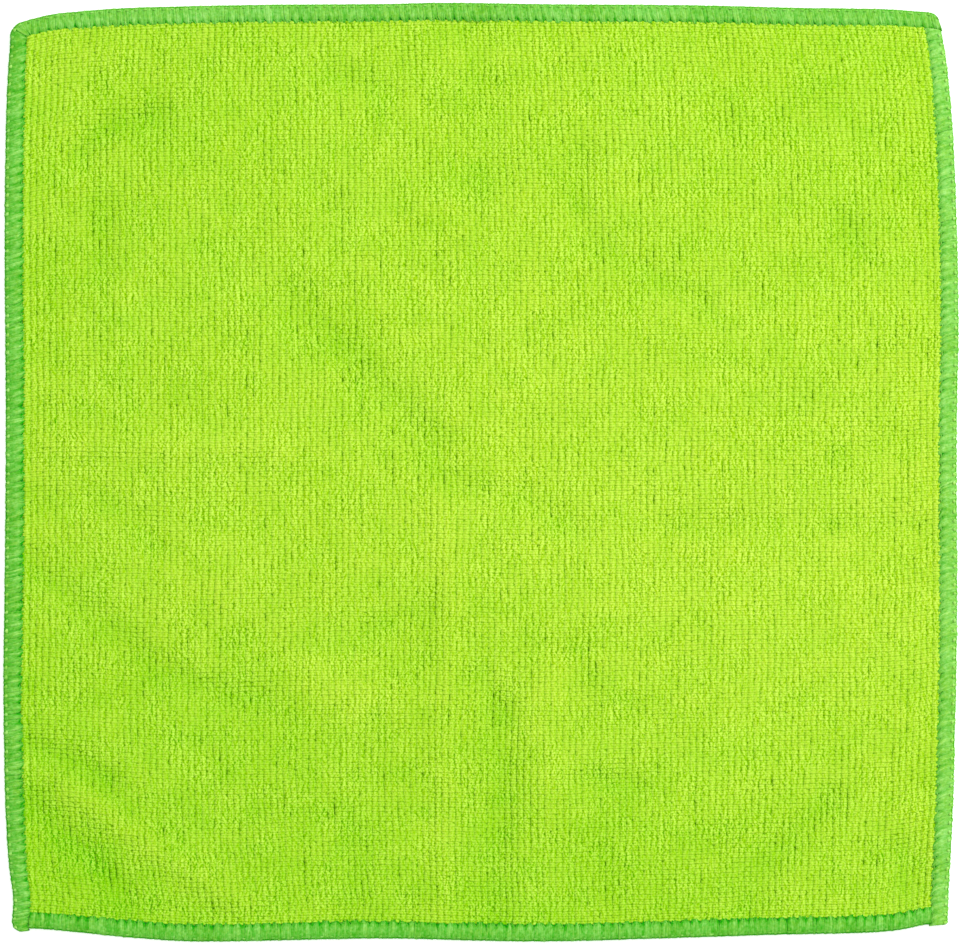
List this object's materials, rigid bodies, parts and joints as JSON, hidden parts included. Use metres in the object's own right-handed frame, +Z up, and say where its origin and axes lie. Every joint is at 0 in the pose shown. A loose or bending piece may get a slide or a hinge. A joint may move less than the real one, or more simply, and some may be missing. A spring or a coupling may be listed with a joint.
{
  "type": "microfibre cloth",
  "caption": "Square microfibre terry cleaning cloth with overlocked edges, lying flat with soft packing creases and a slightly uneven outline.",
  "frame": {"origin": "on the surface that the cloth lies on, under the middle of its bounding box", "axes": "+Z up out of the surface, +X across the ribs to the right of the laid cloth, +Y along the ribs"},
  "size_m": [0.3035, 0.2984, 0.0033],
  "materials": {
    "terry": "matt yellow-green warp-knit microfibre terry, fine loops in soft ribs",
    "thread": "bright green textured overlock thread, soft sheen"
  },
  "bodies": {
    "root": {"cloth": "terry", "overlock_bottom": "thread", "overlock_right": "thread", "overlock_top": "thread", "overlock_left": "thread"}
  },
  "joints": []
}
